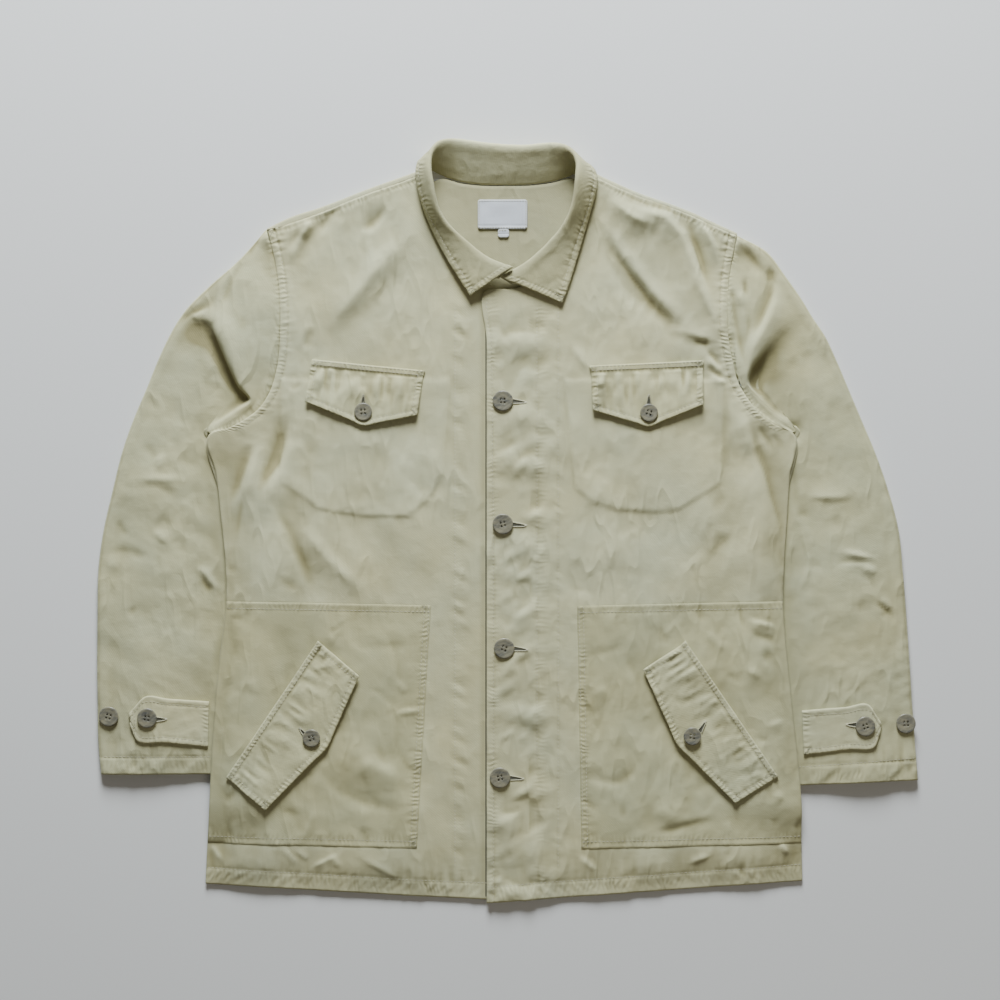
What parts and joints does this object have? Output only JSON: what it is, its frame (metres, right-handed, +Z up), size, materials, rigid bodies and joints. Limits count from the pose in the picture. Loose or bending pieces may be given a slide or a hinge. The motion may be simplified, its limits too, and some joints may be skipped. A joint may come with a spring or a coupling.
{
  "type": "chore jacket",
  "caption": "Button-front cotton chore jacket laid flat, front up, with turned collar, flapped chest and slanted patch pockets, sleeves down and cuff tabs.",
  "frame": {"origin": "on the surface the jacket lies on, under the middle of its box", "axes": "+X to the right as seen from above (the wearer's left), +Y towards the collar, +Z up out of the front"},
  "size_m": [0.8772, 0.8137, 0.0314],
  "materials": {
    "twill": "washed cotton twill, khaki sage",
    "woven_tape": "woven label tape, off-white",
    "horn": "grey horn-look button, satin"
  },
  "bodies": {
    "root": {"back_panel": "twill", "front_left_under": "twill", "front_right_over": "twill", "sleeve_left": "twill", "sleeve_right": "twill", "collar": "twill", "pocket_patch_left": "twill", "pocket_patch_right": "twill", "chest_flap_left": "twill", "chest_flap_right": "twill", "pocket_flap_left": "twill", "pocket_flap_right": "twill", "cuff_tab_left": "twill", "cuff_tab_right": "twill", "neck_label": "woven_tape", "size_tab": "woven_tape", "button_front_1": "horn", "button_front_2": "horn", "button_front_3": "horn", "button_front_4": "horn", "button_chest_left": "horn", "button_chest_right": "horn", "button_pocket_left": "horn", "button_pocket_right": "horn", "button_tab_left": "horn", "button_tab_right": "horn", "button_spare_left": "horn", "button_spare_right": "horn"}
  },
  "joints": []
}
